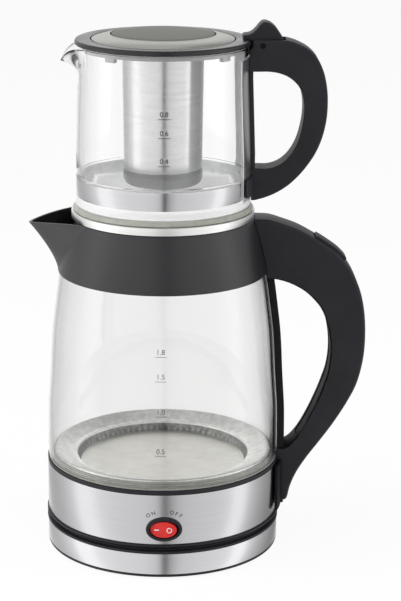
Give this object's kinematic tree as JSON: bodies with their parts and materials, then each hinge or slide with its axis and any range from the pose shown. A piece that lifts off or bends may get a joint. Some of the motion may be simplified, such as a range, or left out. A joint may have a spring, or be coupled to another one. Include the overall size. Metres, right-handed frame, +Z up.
{
  "type": "automatic tea maker",
  "caption": "Glass kettle with black collar, spout, handle and steel housing on a round cordless power base, with a lidded glass teapot and infuser standing on its neck.",
  "frame": {"origin": "middle of the footprint of the whole object, on the table that its feet stand on", "axes": "+Z up; -X towards the kettle's spout, +X towards both handles; -Y the side with the keep-warm switch, +Y the side with the cord outlet"},
  "size_m": [0.2364, 0.17, 0.3739],
  "materials": {
    "black_plastic": "satin",
    "brushed_steel": "fine brushed",
    "polished_steel": "polished",
    "heater_steel": "satin",
    "plain_steel": "plain",
    "aluminium": "as cast",
    "brass_contact": "plain",
    "black_rubber": "matt",
    "grey_silicone": "translucent matt",
    "clear_glass": "clear",
    "pale_plastic": "satin",
    "red_plastic": "gloss",
    "lid_disc_grey": "satin"
  },
  "bodies": {
    "power_base": {"base_underside": "black_plastic", "base_cover": "black_plastic", "base_ring": "brushed_steel", "base_connector": "black_plastic", "cord_gland": "black_rubber", "base_foot_1": "black_rubber", "base_foot_2": "black_rubber", "base_foot_3": "black_rubber", "base_screw_1": "plain_steel", "base_screw_2": "plain_steel", "base_screw_3": "plain_steel"},
    "socket": {"kettle_socket": "black_plastic", "socket_earth_pin": "brass_contact", "socket_inner_contact": "brass_contact", "socket_outer_contact": "brass_contact"},
    "kettle": {"kettle_bottom_cover": "black_plastic", "kettle_base_housing": "black_plastic", "housing_sleeve": "brushed_steel", "glass_gasket": "grey_silicone", "heater_plate": "heater_steel", "heat_spreader": "aluminium", "heating_element": "aluminium", "control_unit": "pale_plastic", "kettle_glass": "clear_glass", "kettle_collar": "black_plastic", "spout_filter": "black_plastic", "neck_ring": "polished_steel", "kettle_handle_shell": "black_plastic", "kettle_handle_insert": "black_plastic", "kettle_handle_strap": "black_plastic", "power_switch_pin": "plain_steel", "rocker_switch_housing": "black_plastic"},
    "power_switch": {"power_switch": "black_plastic"},
    "keep_warm_rocker": {"keep_warm_rocker": "red_plastic"},
    "teapot_seat": {"neck_seal": "grey_silicone"},
    "teapot": {"teapot_glass": "clear_glass", "teapot_band": "brushed_steel", "teapot_strap": "brushed_steel", "teapot_handle": "black_plastic", "lid_hinge_pin": "plain_steel", "infuser_holder": "pale_plastic", "infuser_screen": "brushed_steel", "infuser_cup": "brushed_steel"},
    "teapot_lid": {"lid_rim": "black_plastic", "lid_plate": "polished_steel", "lid_disc": "lid_disc_grey", "lid_liner": "black_plastic", "lid_lever": "black_plastic"}
  },
  "joints": [
    {"name": "kettle_lift", "type": "slide", "parent": "power_base", "child": "socket", "axis": [0, 0, 1], "range_m": [0, 0.1]},
    {"name": "kettle_turn", "type": "hinge", "parent": "socket", "child": "kettle", "pos_m": [-0.02448, 0, 0.0216], "axis": [0, 0, 1], "continuous": true},
    {"name": "power_switch_press", "type": "hinge", "parent": "kettle", "child": "power_switch", "pos_m": [0.10215, 0, 0.20556], "axis": [0, -1, 0], "range_deg": [0, 4]},
    {"name": "keep_warm_rock", "type": "hinge", "parent": "kettle", "child": "keep_warm_rocker", "pos_m": [-0.02448, -0.0788, 0.0366], "axis": [0, 0, 1], "range_deg": [0, 16]},
    {"name": "teapot_turn", "type": "hinge", "parent": "kettle", "child": "teapot_seat", "pos_m": [-0.02448, 0, 0.2439], "axis": [0, 0, 1], "continuous": true},
    {"name": "teapot_lift", "type": "slide", "parent": "teapot_seat", "child": "teapot", "axis": [0, 0, 1], "range_m": [0, 0.1]},
    {"name": "lid_hinge", "type": "hinge", "parent": "teapot", "child": "teapot_lid", "pos_m": [0.04303, 0, 0.3581], "axis": [0, 1, 0], "range_deg": [0, 70]}
  ]
}
